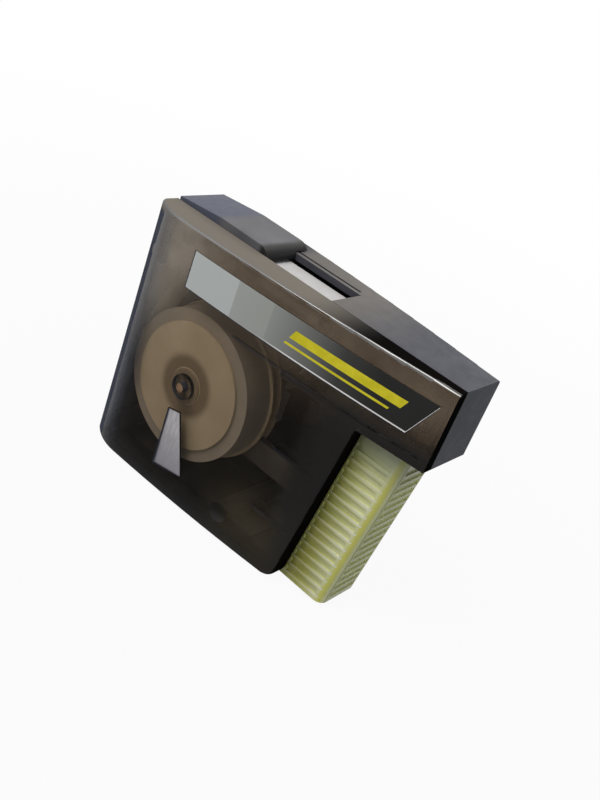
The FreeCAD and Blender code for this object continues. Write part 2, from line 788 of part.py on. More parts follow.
def drive_pinion():
    """Spur pinion with involute flanks, and a spigot that carries the pawl ring."""
    pitch, module = number(PITCH_RADIUS), number("tooth_module")
    root, tip = pitch - number("root_depth") * module, pitch + module
    base = pitch * math.cos(math.radians(number("pressure_angle")))
    axis = FreeCAD.Vector(0, 1, 0)

    def at(radius, angle):
        return FreeCAD.Vector(radius * math.cos(angle), 0, radius * math.sin(angle))

    half, bite, over = number("drive_half"), number("bite"), number("cut_over")
    wheel = Part.makeCylinder(root, 2 * half, FreeCAD.Vector(0, -half, 0), axis)
    radii = (base, (base + tip) / 2, tip)
    for count in range(int(number("pinion_teeth"))):
        turn = (count + 0.5) * 2 * math.pi / number("pinion_teeth")
        right = [at(radius, turn - involute(radius)) for radius in radii]
        left = [at(radius, turn + involute(radius)) for radius in radii]
        foot = [at(root - bite, turn - involute(base)), at(root - bite, turn + involute(base))]
        edges = [
            Part.makeLine(foot[0], right[0]),
            Part.Arc(*right).toShape(),
            Part.Arc(right[2], at(tip, turn), left[2]).toShape(),
            Part.Arc(left[2], left[1], left[0]).toShape(),
            Part.makeLine(left[0], foot[1]),
            Part.makeLine(foot[1], foot[0]),
        ]
        tooth = Part.Face(Part.Wire(edges)).extrude(axis * (2 * half))
        tooth.translate(axis * -half)
        wheel = wheel.fuse(tooth)
    spigot_end = number(f"{NEAR} + ratchet_depth - end_gap")
    wheel = wheel.fuse(Part.makeCylinder(number("spigot_radius"), spigot_end, FreeCAD.Vector(0, 0, 0), axis))
    bore = Part.makeCylinder(number("axle_radius + run_fit"), half + spigot_end + 2 * over,
                             axis * -(half + over), axis)
    item = doc.addObject("Part::Feature", "drive_pinion")
    item.Shape = wheel.cut(bore).removeSplitter()
    place(item, REEL_X, "0", "reel_z")


drive_pinion()


def pawl_ring():
    """A ring with two springy arms that trail round to the ratchet teeth."""
    body = new_body("pawl_ring")
    face = f"({NEAR} + pawl_gap)"
    sketch = circle(new_sketch(body, "XZ_Plane", f"-{face}"), "0", "0", "pawl_ring_radius")
    circle(sketch, "0", "0", "(spigot_radius + press_gap)")
    pad(body, sketch, "pawl_thick", True)
    arm = outline(new_sketch(body, "XZ_Plane", f"-{face}"), [
        ("(pawl_ring_radius - bite)", "0"),
        ("(pawl_ring_radius + pawl_arm)", "0"),
        (*polar("pawl_reach", "pawl_angle"), "pawl_reach", 1),
        polar("(pawl_reach - pawl_arm)", "pawl_angle"),
        (*polar("(pawl_ring_radius - bite)", "pawl_root_angle"), "pawl_reach", -1),
    ])
    item = pad(body, arm, "pawl_thick", True)
    around(body, item, "pawl_count")
    place(body, REEL_X, "0", "reel_z")


pawl_ring()


def drive_rack():
    """A flat bar from inside the trigger to under the pinion, toothed along its top at the left."""
    body = new_body("drive_rack")
    root = f"({PITCH_Z} - root_depth * tooth_module)"
    tip = f"({PITCH_Z} + rack_tooth_high * tooth_module)"
    slope = "tooth_module * tan(pressure_angle)"
    wide = f"({TOOTH_PITCH} / 4 - backlash / 2 + root_depth * {slope})"
    narrow = f"({TOOTH_PITCH} / 4 - backlash / 2 - rack_tooth_high * {slope})"
    first = f"({REEL_X} - rack_lead * {TOOTH_PITCH})"
    end, low = f"({first} - {wide} - rack_end)", f"({root} - rack_bar)"
    bar = outline(across(body, -1, "drive_half"), [
        (end, low),
        (f"({trigger_face(low)} - trigger_wall)", low),
        (f"({trigger_face(root)} - trigger_wall)", root),
        (end, root),
    ])
    pad(body, bar, "2 * drive_half", True)
    tooth = outline(across(body, -1, "drive_half"), [
        (f"({first} - {wide})", root),
        (f"({first} + {wide})", root),
        (f"({first} + {narrow})", tip),
        (f"({first} - {narrow})", tip),
    ])
    item = pad(body, tooth, "2 * drive_half", True)
    along(body, item, origin_item(body, "X_Axis"), TOOTH_PITCH, "rack_teeth")


drive_rack()

# Trigger and its spring


def trigger():
    """A hollow ribbed press bar, open towards the reels, with lugs that run between the rails."""
    body = new_body("trigger")
    low, high = "trigger_foot", TRIGGER_TOP
    block = outline(across(body, -1, "trigger_half"), [
        (TRIGGER_IN, low),
        (trigger_face(low), low),
        (trigger_face(high), high),
        (TRIGGER_IN, high),
    ])
    pad(body, block, "2 * trigger_half", True)
    round_edges(body, "trigger_corner", is_trigger_corner)
    floor, roof = f"({low} + trigger_wall)", f"({high} - trigger_wall)"
    hollow = outline(across(body, -1, "(trigger_half - trigger_wall)"), [
        (f"({TRIGGER_IN} - cut_over)", floor),
        (f"({trigger_face(floor)} - trigger_wall)", floor),
        (f"({trigger_face(roof)} - trigger_wall)", roof),
        (f"({TRIGGER_IN} - cut_over)", roof),
    ])
    pocket(body, hollow, "2 * (trigger_half - trigger_wall)")

    lug_low, lug_high = "(rail_low + rail_thick / 2 + slide_gap)", "(rail_high - rail_thick / 2 - slide_gap)"
    lug_left = f"({body_edge(lug_low)} - wall - slide_gap - lug_long)"
    for side in (-1, 1):
        lug = outline(across(body, side, "(trigger_half - trigger_wall / 2)"), [
            (lug_left, lug_low),
            (f"({body_edge(lug_low)} - wall - slide_gap)", lug_low),
            (f"({body_edge(lug_high)} - wall - slide_gap)", lug_high),
            (lug_left, lug_high),
        ])
        pad(body, lug, "lug_reach + trigger_wall / 2", side > 0)

    first = "(trigger_foot + groove_start)"
    face, straight = trigger_face(first), "(trigger_half - trigger_corner)"
    groove = new_sketch(body, "XY_Plane", first)
    for side in (-1, 1):
        rectangle(groove, f"({body_edge(first)} + groove_gap)", f"{side} * (trigger_half - groove_deep)",
                  f"({face} - trigger_corner)", f"{side} * (trigger_half + cut_over)")
    rectangle(groove, f"({face} - groove_deep)", f"-{straight}", f"({face} + cut_over)", straight)
    item = pocket(body, groove, "groove_high", True)
    along(body, item, leaning_line(body), f"groove_pitch * {EDGE_LONG} / bar_z", "groove_count")


def is_trigger_corner(edge):
    """The two edges that lean along the trigger's outer face."""
    ends = [vertex.Point for vertex in edge.Vertexes]
    on_face = all(abs(end.x - number(trigger_face(f"{end.z:.6f}"))) < TOUCH for end in ends)
    return on_face and abs(ends[0].y - ends[1].y) < TOUCH


def leaning_line(body):
    """A line that leans as the body's right edge does, as a direction."""
    sketch = new_sketch(body, "XZ_Plane")
    tip = FreeCAD.Vector(number("lean"), number("bar_z"), 0)
    line = sketch.addGeometry(Part.LineSegment(FreeCAD.Vector(0, 0, 0), tip), True)
    sketch.addConstraint(Sketcher.Constraint("Coincident", line, 1, -1, 1))
    for kind, name in (("DistanceX", "lean"), ("DistanceY", "bar_z")):
        size = sketch.addConstraint(Sketcher.Constraint(kind, -1, 1, line, 2, number(name)))
        sketch.setExpression(f"Constraints[{size}]", bound(name))
    return sketch, ["Axis0"]


trigger()


def return_spring():
    """A compression spring from the shell's seat to the trigger's end wall, its wire few-sided."""
    radius, wire = number("spring_radius"), number("spring_wire")
    start = number(f"{SEAT_X} + spring_wire / 2 + press_gap")
    inner_face = f"({trigger_face('(spring_z - spring_radius - spring_wire / 2)')} - trigger_wall)"
    span = number(f"{inner_face} - spring_wire / 2 - press_gap") - start
    helix = Part.makeHelix(span / number("spring_turns"), span, radius)
    sides = int(number("spring_facets"))
    turns = [2 * math.pi * count / sides for count in range(sides + 1)]
    section = Part.makePolygon([
        FreeCAD.Vector(radius + wire / 2 * math.cos(turn), 0, wire / 2 * math.sin(turn)) for turn in turns])
    coil = Part.Wire(helix.Edges).makePipeShell([section], True, True)
    item = doc.addObject("Part::Feature", "return_spring")
    item.Shape = coil
    item.Placement = FreeCAD.Placement(
        FreeCAD.Vector(start, 0, number("spring_z")),
        FreeCAD.Rotation(FreeCAD.Vector(0, 1, 0), 90))


return_spring()

# Tape path


def guide_pin(label, x):
    """A stepped pin under the tape, with thin ends in the shells' bosses."""
    end = f"({PIN_FACE} + pin_end_long - end_gap)"
    turned(label, [
        ("0", f"-{end}"),
        ("pin_end_radius", f"-{end}"),
        ("pin_end_radius", f"-{PLATEN_HALF}"),
        ("pin_radius", f"-{PLATEN_HALF}"),
        ("pin_radius", PLATEN_HALF),
        ("pin_end_radius", PLATEN_HALF),
        ("pin_end_radius", end),
        ("0", end),
    ], x, PIN_Z)


guide_pin("left_guide_pin", f"({LEFT} + left_pin_x)")
guide_pin("right_guide_pin", f"({LEFT} + right_pin_x)")


def platen():
    """The tape's firm bed, with wings that lie on the shells' ledges."""
    body = new_body("platen")
    wing_top = f"({PLATEN_LOW} + wing_thick)"
    section = outline(new_sketch(body, "YZ_Plane", PLATEN_LEFT), [
        (f"-{WING_END}", PLATEN_LOW),
        (WING_END, PLATEN_LOW),
        (WING_END, wing_top),
        (PLATEN_HALF, wing_top),
        (PLATEN_HALF, PLATEN_TOP),
        (f"-{PLATEN_HALF}", PLATEN_TOP),
        (f"-{PLATEN_HALF}", wing_top),
        (f"-{WING_END}", wing_top),
    ])
    pad(body, section, f"{PLATEN_RIGHT} - {PLATEN_LEFT}")


def platen_pad():
    """The soft pad on the platen, under the tape."""
    body = new_body("platen_pad")
    face = rectangle(new_sketch(body, "XY_Plane", PLATEN_TOP), PLATEN_LEFT, f"-{PLATEN_HALF}", PLATEN_RIGHT,
                     PLATEN_HALF)
    pad(body, face, "pad_thick")


platen()
platen_pad()


def tangent(start, start_radius, end, end_radius):
    """Where a tape touches two rounds that it passes on its left, and the way that its face looks."""
    way = end - start
    lean = math.asin((end_radius - start_radius) / way.Length)
    out = FreeCAD.Rotation(FreeCAD.Vector(0, 1, 0), -math.degrees(math.pi / 2 + lean))
    face = out.multVec(way).normalize()
    return start + face * start_radius, end + face * end_radius, face


def cleaning_ribbon():
    """The stretch of tape between the two rolls, which crosses over sideways above the flanges."""
    thick, width = number("tape_thick"), number("tape_width")
    side = number(f"({NEAR_FACE} + {FAR_FACE}) / 2")
    clear = number("flange_radius + ribbon_gap")
    axle = FreeCAD.Vector(number(REEL_X), 0, number("reel_z"))
    pins = [FreeCAD.Vector(number(f"{LEFT} + {x}"), 0, number(PIN_Z))
            for x in ("left_pin_x", "right_pin_x")]
    pin = number("pin_radius + press_gap")
    supply = number("supply_roll_radius + slide_gap")
    takeup = number("takeup_roll_radius + slide_gap")

    def section(at, face):
        """The tape's section, standing on the point at and facing one way."""
        half = FreeCAD.Vector(0, width / 2, 0)
        corners = [at - half, at + half, at + half + face * thick, at - half + face * thick]
        return Part.Face(Part.makePolygon(corners + corners[:1]))

    def run(start, end, face):
        return section(start, face).extrude(end - start)

    def bend(centre, face_in, face_out):
        turn = math.degrees(face_in.getAngle(face_out))
        return section(centre + face_in * pin, face_in).revolve(centre, FreeCAD.Vector(0, 1, 0), turn)

    def out_of_reel(touch, other, radius):
        """The point on the way from touch to other where the tape has cleared the flanges."""
        return touch + (other - touch).normalize() * math.sqrt(clear ** 2 - radius ** 2)

    to_front, to_rear = FreeCAD.Vector(0, -side, 0), FreeCAD.Vector(0, side, 0)
    leave, up_end, up_face = tangent(axle, supply, pins[0], pin)
    over_start, over_end, over_face = tangent(pins[0], pin, pins[1], pin)
    down_start, arrive, down_face = tangent(pins[1], pin, axle, takeup)
    up_middle = out_of_reel(leave, up_end, supply)
    down_middle = out_of_reel(arrive, down_start, takeup)
    stretches = [
        run(leave + to_front, up_middle + to_front, up_face),
        run(up_middle + to_front, up_end, up_face),
        bend(pins[0], up_face, over_face),
        run(over_start, over_end, over_face),
        bend(pins[1], over_face, down_face),
        run(down_start, down_middle + to_rear, down_face),
        run(down_middle + to_rear, arrive + to_rear, down_face),
    ]
    item = doc.addObject("Part::Feature", "cleaning_ribbon")
    item.Shape = stretches[0].multiFuse(stretches[1:]).removeSplitter()


cleaning_ribbon()

# Screws


def housing_screws():
    """Pan-head screws, put in from the rear shell and biting into the front one."""
    head_y, tip_y = number("screw_seat"), number(f"screw_end_gap - screw_bite - {CHANNEL_HALF}")
    screws = []
    for x, z in SCREWS:
        at = FreeCAD.Vector(number(f"{LEFT} + {x}"), 0, number(z))
        back = FreeCAD.Vector(0, 1, 0)
        shank = Part.makeCylinder(number("screw_radius"), head_y - tip_y, at + back * tip_y, back)
        head = Part.makeCylinder(number("screw_head_radius"), number("screw_head_high"),
                                 at + back * head_y, back)
        screws.append(shank.fuse(head).removeSplitter())
    item = doc.addObject("Part::Feature", "housing_screws")
    item.Shape = Part.makeCompound(screws)


housing_screws()

# Check and write

doc.recompute()
for item in doc.Objects:
    if "Invalid" in item.State or "Error" in item.State:
        raise RuntimeError(f"{item.Label} did not build: {item.State}")

pieces = [item for item in doc.Objects if item.TypeId in ("PartDesign::Body", "Part::Feature")]
pieces = [item for item in pieces if item not in tools]
for item in pieces:
    if item.Shape.isNull() or not item.Shape.isValid() or not item.Shape.Solids:
        raise RuntimeError(f"{item.Label} has no valid solid")

os.makedirs("parts", exist_ok=True)
for item in pieces:
    item.Shape.exportStep(f"parts/{item.Label}.step")
    print(item.Label, len(item.Shape.Solids), round(item.Shape.Volume, 1))
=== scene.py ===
import json
import math
from typing import NamedTuple

import bmesh
import bpy
from mathutils import Matrix, Vector

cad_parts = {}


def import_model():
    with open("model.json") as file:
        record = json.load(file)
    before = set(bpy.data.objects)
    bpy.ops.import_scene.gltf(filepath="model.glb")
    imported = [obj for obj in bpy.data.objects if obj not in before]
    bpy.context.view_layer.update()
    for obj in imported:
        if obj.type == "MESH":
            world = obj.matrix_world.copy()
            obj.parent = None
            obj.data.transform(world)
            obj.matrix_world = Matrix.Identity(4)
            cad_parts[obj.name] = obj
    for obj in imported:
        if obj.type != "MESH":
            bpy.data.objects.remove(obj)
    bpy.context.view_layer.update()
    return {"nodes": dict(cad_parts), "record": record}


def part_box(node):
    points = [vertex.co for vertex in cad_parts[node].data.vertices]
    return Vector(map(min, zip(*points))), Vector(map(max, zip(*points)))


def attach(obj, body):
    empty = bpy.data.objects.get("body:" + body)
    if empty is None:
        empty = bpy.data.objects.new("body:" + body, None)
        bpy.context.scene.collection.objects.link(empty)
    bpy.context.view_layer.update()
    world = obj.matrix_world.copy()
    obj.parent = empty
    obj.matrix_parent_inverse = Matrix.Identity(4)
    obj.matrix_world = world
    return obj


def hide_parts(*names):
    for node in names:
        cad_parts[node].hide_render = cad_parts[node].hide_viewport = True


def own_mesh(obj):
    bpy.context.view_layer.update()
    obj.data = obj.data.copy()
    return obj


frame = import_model()
nodes = frame["nodes"]
MM = 0.001

# Camera: where it looks, from how far, from which side, and how far the picture is turned
AIM = Vector((6.03, 0.41, 47.75)) * MM
DISTANCE = 286.8 * MM
AZIMUTH = math.radians(30.57)
ELEVATION = math.radians(27.66)
ROLL = math.radians(21.52)
LENS, SENSOR = 43.7, 36.0
NEAREST_SEEN = 10 * MM

# Label greys along its length, as shares of it from the left: two nearly plain fields, then a fade to black
LABEL_GREYS = [
    (0.0, (184, 188, 186)),
    (0.21, (184, 188, 186)),
    (0.211, (162, 164, 160)),
    (0.365, (156, 158, 153)),
    (0.366, (146, 148, 144)),
    (0.5, (114, 115, 111)),
    (0.66, (58, 58, 56)),
    (0.8, (33, 33, 32)),
]
# The two printed bars, in millimetres from the label's left end and from its lower edge
BARS = [(36.0, 73.0, 5.4, 8.2), (36.0, 71.0, 3.2, 3.9)]
# How far the bars' ends lean to the right as they go up
PRINT_SLANT = 0.5

# Edges that bend by more degrees than the first are sharp, and by less than the second are flat
SHARP_EDGE, FLAT_EDGE = 35.0, 0.5
# Corners of faces that lie this near to each other are one
WELD = 0.001 * MM
# Widths of the rounds on the sharp edges of three pieces, in millimetres, and the steps of a round
LABEL_ROUND, TRIGGER_ROUND, LID_ROUND, ROUND_STEPS = 0.4, 0.3, 0.35, 2
# The cover's faces by the share of their direction that is to the front: its walls and rounds have less
# than the second, and its polished top round also looks to the front and up by more than the first
EDGE_SLANT, RIM_SLANT = 0.3, 0.9
# The label's rounds that look up by less than this show bare foil
FOIL_UP = 0.1
# The trigger's rounds that look down by less than the first and along its length by less than the second
# carry a painted highlight
BRIGHT_DOWN, BRIGHT_ALONG = 0.1, 0.3

# Height of the trigger's first groove, the distance to the next, and how many there are
GROOVE_FOOT, GROOVE_PITCH, GROOVES = 3.2 * MM, 3.25 * MM, 16
# The trigger's front and back faces lie this far from its middle plane, and its lugs reach further
TRIGGER_HALF = 9.1 * MM
# What is less than this behind a face of the trigger counts as that face
FACE_ROOM = 0.2 * MM
# Height of the bar's foot over the trigger
BAR_FOOT = 59.0 * MM
# How far the trigger's outer face leans in over that height, and a depth between its ribs and grooves
TRIGGER_LEAN, RIB_DEPTH = 6.4 * MM, 0.25 * MM
# The middle of the object's length
MIDDLE = 0.0

# Most of a noise lies between these values
NOISE_LOW, NOISE_HIGH = 0.3, 0.7
# Width of the faint waves in clear plastic, in millimetres
CLEAR_PEEL = 4.0
# Sockets of the Mix node that hold its two colours, and the one that gives the result
COLOUR_SOCKETS, COLOUR_RESULT = (6, 7), 2
# Sockets of the Mix Shader node that hold its two shaders
SHADER_SOCKETS = (1, 2)
# Numbers of the finishes on a piece after the first, which is that of the whole piece
SECOND_FINISH, THIRD_FINISH = 1, 2
# Room under the foot, so that the floor is not in the same plane
FLOOR_GAP = 0.3 * MM
# Where the lamps look
LAMP_AIM = Vector((0, 0, 40)) * MM


class Band(NamedTuple):
    """A rise from nothing at the start to its most where it is full."""
    start: float
    full: float
    most: float = 1.0


# Node helpers


def srgb(*levels):
    """A colour given from 0 to 255 as the shaders' linear values."""
    def linear(value):
        share = value / 255
        return share / 12.92 if share <= 0.04045 else ((share + 0.055) / 1.055) ** 2.4
    return (*map(linear, levels), 1.0)


def new_finish(name, **sockets):
    """A material with a Principled shader. Socket names have _ where the shader has spaces."""
    material = bpy.data.materials.new(name)
    material.use_nodes = True
    shader = shader_of(material)
    for socket, value in sockets.items():
        shader.inputs[socket.replace("_", " ")].default_value = value
    return material


def shader_of(material):
    """A finish's Principled shader."""
    return material.node_tree.nodes["Principled BSDF"]


def feed(tree, socket, value):
    """Puts a plain value or another node's output on a socket."""
    if isinstance(value, bpy.types.NodeSocket):
        tree.links.new(value, socket)
    else:
        socket.default_value = value


def add(material, kind, inputs=None, **settings):
    """A new node, with its settings, and with values or other nodes' outputs on its inputs."""
    item = material.node_tree.nodes.new(kind)
    for name, value in settings.items():
        setattr(item, name, value)
    for name, value in (inputs or {}).items():
        feed(material.node_tree, item.inputs[name], value)
    return item


def join(material, output, socket):
    """Links an output to the finish's shader, in place of what fed that socket before."""
    material.node_tree.links.new(output, shader_of(material).inputs[socket])


def base_colour(material):
    """What feeds a finish's colour so far."""
    return shader_of(material).inputs["Base Color"].links[0].from_socket


def places(material):
    """Places on the piece, in metres of its own frame."""
    return add(material, "ShaderNodeTexCoord").outputs["Object"]


def directions(material):
    """Which way the piece's surface faces, in its own frame."""
    return add(material, "ShaderNodeTexCoord").outputs["Normal"]


def stretched(material, x, y, z):
    """The same places, stretched along the axes."""
    inputs = {"Vector": places(material), "Scale": (x, y, z)}
    return add(material, "ShaderNodeMapping", inputs).outputs["Vector"]


def axes_of(material, vector):
    """A vector's shares along X, Y and Z."""
    return add(material, "ShaderNodeSeparateXYZ", {"Vector": vector}).outputs[:]


def grain(material, size_mm, detail=3.0, vector=None):
    """Soft noise from 0 to 1 with patches of about the given size."""
    inputs = {"Vector": vector or places(material), "Scale": 1 / (size_mm * MM), "Detail": detail}
    return add(material, "ShaderNodeTexNoise", inputs).outputs["Fac"]


def between(material, value, low, high, start=NOISE_LOW, end=NOISE_HIGH):
    """A value, such as a noise, spread over a range."""
    inputs = {"Value": value, "From Min": start, "From Max": end, "To Min": low, "To Max": high}
    return add(material, "ShaderNodeMapRange", inputs).outputs["Result"]


def blended(material, value, dark, light):
    """Noise as a colour between two others."""
    ramp = add(material, "ShaderNodeValToRGB", {"Fac": value})
    set_stops(ramp, [(NOISE_LOW, dark), (NOISE_HIGH, light)])
    return ramp.outputs["Color"]


def set_stops(ramp, colours):
    """Gives a colour ramp its stops, each a place and a colour."""
    stops = ramp.color_ramp.elements
    while len(stops) < len(colours):
        stops.new(1.0)
    for stop, (place, colour) in zip(stops, colours):
        stop.position = place
        stop.color = srgb(*colour)


def add_bump(material, height, depth_mm):
    """Gives a finish the relief of a noise or pattern."""
    inputs = {"Height": height, "Distance": depth_mm * MM, "Strength": 1.0}
    join(material, add(material, "ShaderNodeBump", inputs).outputs["Normal"], "Normal")


def combined(material, operation, first, *others):
    """Math nodes that take values in turn, each another node's output or a plain number."""
    for other in others:
        node = add(material, "ShaderNodeMath", {0: first, 1: other}, operation=operation)
        first = node.outputs["Value"]
    return first


def changed(material, operation, value):
    """A Math node of one value."""
    return add(material, "ShaderNodeMath", {0: value}, operation=operation).outputs["Value"]


def both(material, *shares):
    """How far all of several shares hold."""
    return combined(material, "MULTIPLY", *shares)


def either(material, *shares):
    """How far any of several shares holds."""
    return combined(material, "MAXIMUM", *shares)


def inside(material, value, low, high):
    """1 where a value lies between two others, 0 elsewhere."""
    return both(material, combined(material, "GREATER_THAN", value, low),
                combined(material, "LESS_THAN", value, high))


def fade(material, value, band):
    """Rises smoothly from 0 where a value is at the band's start to the band's most."""
    inputs = {"Value": value, "From Min": band.start, "From Max": band.full, "To Max": band.most}
    return add(material, "ShaderNodeMapRange", inputs, interpolation_type="SMOOTHSTEP").outputs["Result"]


def fade_from(material, place, origin, band):
    """The same along an axis, with the band in millimetres from an origin in metres."""
    return fade(material, place, Band(origin + band.start * MM, origin + band.full * MM, band.most))


def mixed(material, share, first, second):
    """One colour going over into another, each from 0 to 255 or another node's."""
    node = add(material, "ShaderNodeMix", {"Factor": share}, data_type="RGBA")
    for socket, colour in zip(COLOUR_SOCKETS, (first, second)):
        plain = isinstance(colour, tuple)
        feed(material.node_tree, node.inputs[socket], srgb(*colour) if plain else colour)
    return node.outputs[COLOUR_RESULT]


def tinted(material, share, colour):
    """Lets the finish's colour go over into another."""
    join(material, mixed(material, share, base_colour(material), colour), "Base Color")


def moulded(name, dark, light, patch_mm, rough=None, bump_mm=0.01, peel_mm=0.35, **sockets):
    """Moulded plastic: cloudy colour, a fine orange peel and, if given, gloss in smaller patches."""
    gloss_patch, peel_detail = patch_mm / 4, 2.0
    material = new_finish(name, **sockets)
    join(material, blended(material, grain(material, patch_mm), dark, light), "Base Color")
    if rough:
        join(material, between(material, grain(material, gloss_patch), *rough), "Roughness")
    add_bump(material, grain(material, peel_mm, peel_detail), bump_mm)
    return material


def grained(name, dark, light, grain_mm, rough, bump_mm, detail=3.0, stretch=(1.0, 1.0, 1.0), **sockets):
    """A finish whose colour, gloss and relief follow one grain, such as brushed lines or fibres."""
    material = new_finish(name, **sockets)
    lines = grain(material, grain_mm, detail, stretched(material, *stretch))
    join(material, blended(material, lines, dark, light), "Base Color")
    join(material, between(material, lines, *rough), "Roughness")
    add_bump(material, lines, bump_mm)
    return material


def show(tree, output, share, first, second):
    """Gives a material or a world two shaders, the first going over into the second."""
    mix = tree.nodes.new("ShaderNodeMixShader")
    tree.links.new(share, mix.inputs["Fac"])
    for socket, shader in zip(SHADER_SOCKETS, (first, second)):
        tree.links.new(shader, mix.inputs[socket])
    tree.links.new(mix.outputs["Shader"], tree.nodes[output].inputs["Surface"])


def see_through(material, tint, share):
    """Lets the tinted view behind show where the shader's own share leaves room for it."""
    clear = add(material, "ShaderNodeBsdfTransparent", {"Color": (*tint, 1.0)})
    show(material.node_tree, "Material Output", share, clear.outputs["BSDF"],
         shader_of(material).outputs["BSDF"])


def denser_at_a_slant(material, low, high):
    """A clear wall's own share, low where it is seen square on and high where it is seen along."""
    slant = add(material, "ShaderNodeLayerWeight", {"Blend": 0.25}).outputs["Facing"]
    return between(material, slant, low, high, start=0.0, end=1.0)


# Finishes


def shade_beside_trigger(material, across, up, most):
    """Painted shade on the cover's side beside the trigger, below the bar."""
    near = fade_from(material, across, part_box("trigger")[0].x, Band(-12, 4, most))
    return both(material, near, fade_from(material, up, BAR_FOOT, Band(10, 3)))


def smoky_plastic():
    """Clear smoky plastic that turns what lies behind it brown and is denser towards the cover's edges,
    with painted light near its top and upper left and painted shade beside the trigger.
    """
    material = moulded("smoky_plastic", dark=(26, 23, 21), light=(40, 35, 31), patch_mm=9.0,
                       rough=(0.12, 0.18), bump_mm=0.004, peel_mm=CLEAR_PEEL, IOR=1.22)
    low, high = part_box("front_shell")
    trigger_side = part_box("trigger")[0].x
    across, _, up = axes_of(material, places(material))
    cloud = between(material, grain(material, size_mm=14.0), low=0.7, high=1.0)

    # Painted light near the top, as of light that comes in through the top and lights the inside
    top = both(material, fade_from(material, up, high.z, Band(-36, -6, 0.7)), cloud)
    to_left = fade_from(material, across, low.x, Band(50, 14))
    brown, pale_brown = (150, 130, 108), (178, 164, 148)
    tinted(material, top, mixed(material, to_left, brown, pale_brown))

    # More painted light, paler, in the upper left
    painted_light_upper_left = both(material, fade_from(material, up, high.z, Band(-52, -22)),
                      fade_from(material, across, low.x, Band(32, 8, 0.52)))
    tinted(material, painted_light_upper_left, colour=(206, 197, 182))

    left = fade_from(material, across, low.x, Band(17, 2, 0.75))
    tinted(material, left, colour=(102, 105, 116))

    patch = both(material, fade_from(material, across, trigger_side, Band(-34, -12, 0.45)),
                 fade_from(material, up, low.z, Band(34, 10)), cloud)
    tinted(material, patch, colour=(120, 108, 82))

    # Darker towards the foot, with painted shade beside the trigger below the bar, both near black
    foot = fade_from(material, up, low.z, Band(14, 1, 0.75))
    dark = either(material, shade_beside_trigger(material, across, up, most=0.9), foot)
    tinted(material, dark, colour=(22, 20, 19))

    wall = denser_at_a_slant(material, low=0.15, high=0.6)
    share = either(material, wall, left, top, painted_light_upper_left, dark, patch)
    see_through(material, tint=(0.975, 0.925, 0.855), share=share)
    return material


def smoky_rim():
    """The same plastic where the wall is seen from its edge, so deep that it shows nothing behind."""
    material = moulded("smoky_rim", dark=(64, 67, 78), light=(76, 78, 88), patch_mm=12.0,
                       rough=(0.24, 0.34), bump_mm=0.004, peel_mm=CLEAR_PEEL, Specular_IOR_Level=0.0)
    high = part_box("front_shell")[1]
    across, _, up = axes_of(material, places(material))
    to_right, _, to_top = axes_of(material, directions(material))

    strip = both(material, fade_from(material, up, high.z, Band(-3, -1)),
                 fade_from(material, across, MIDDLE, Band(40, 10)))
    tinted(material, strip, colour=(126, 120, 111))

    # Near black: a dark band on the top towards the right, and painted shade on the right end wall and
    # beside the trigger
    top_right = both(material, fade(material, to_top, Band(0.6, 0.9)),
                     fade_from(material, across, MIDDLE, Band(2, 30)))
    shaded_right_end = both(material, fade(material, to_right, Band(0.2, 0.6)),
                     fade_from(material, across, MIDDLE, Band(20, 40)))
    dark = either(material, shade_beside_trigger(material, across, up, most=1.0), top_right, shaded_right_end)
    tinted(material, dark, colour=(18, 16, 15))
    return material


def smoky_edge():
    """The cover's front edge, polished along the right of the bar and dull to the left."""
    polished, dull = 0.16, 0.6
    material = moulded("smoky_edge", dark=(24, 21, 19), light=(38, 33, 29), patch_mm=6.0,
                       bump_mm=0.002, peel_mm=CLEAR_PEEL, IOR=2.1)
    across, _, _ = axes_of(material, places(material))
    to_left = fade_from(material, across, MIDDLE, Band(8, -12))
    join(material, between(material, to_left, polished, dull, start=0.0, end=1.0), "Roughness")
    return material


def slate_plastic():
    """Satin slate, warmer on the level faces round the window."""
    material = moulded("slate_plastic", dark=(66, 67, 75), light=(78, 78, 84), patch_mm=11.0,
                       rough=(0.34, 0.46), bump_mm=0.004, Specular_IOR_Level=0.03)
    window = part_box("cleaning_ribbon")[1].z
    across, _, up = axes_of(material, places(material))
    _, _, to_top = axes_of(material, directions(material))
    warm = both(material, fade_from(material, across, MIDDLE, Band(35, 5)),
                fade_from(material, across, MIDDLE, Band(-22, -14)),
                fade_from(material, up, window, Band(-6, 2)),
                fade(material, to_top, Band(0.5, 0.95)))
    tinted(material, warm, colour=(108, 103, 98))
    return material


def lid_plastic():
    """The lid's slate, lighter on its level part, with painted shade on its left ramp and its roll."""
    material = moulded("lid_plastic", dark=(94, 93, 96), light=(108, 107, 109), patch_mm=9.0,
                       rough=(0.3, 0.42), bump_mm=0.004, Specular_IOR_Level=0.06)
    low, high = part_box("shutter")
    across, _, _ = axes_of(material, places(material))
    # Painted shade on the left ramp
    ramp = fade_from(material, across, low.x, Band(20, 15))
    tinted(material, ramp, colour=(86, 89, 102))
    # Painted shade on the roll
    shaded_roll = fade_from(material, across, high.x, Band(-4.5, -2.5))
    tinted(material, shaded_roll, colour=(48, 46, 45))
    return material


def white_plastic():
    """Cream plastic of the reels."""
    return moulded("white_plastic", dark=(216, 205, 184), light=(232, 222, 202), patch_mm=8.0,
                   rough=(0.35, 0.5))


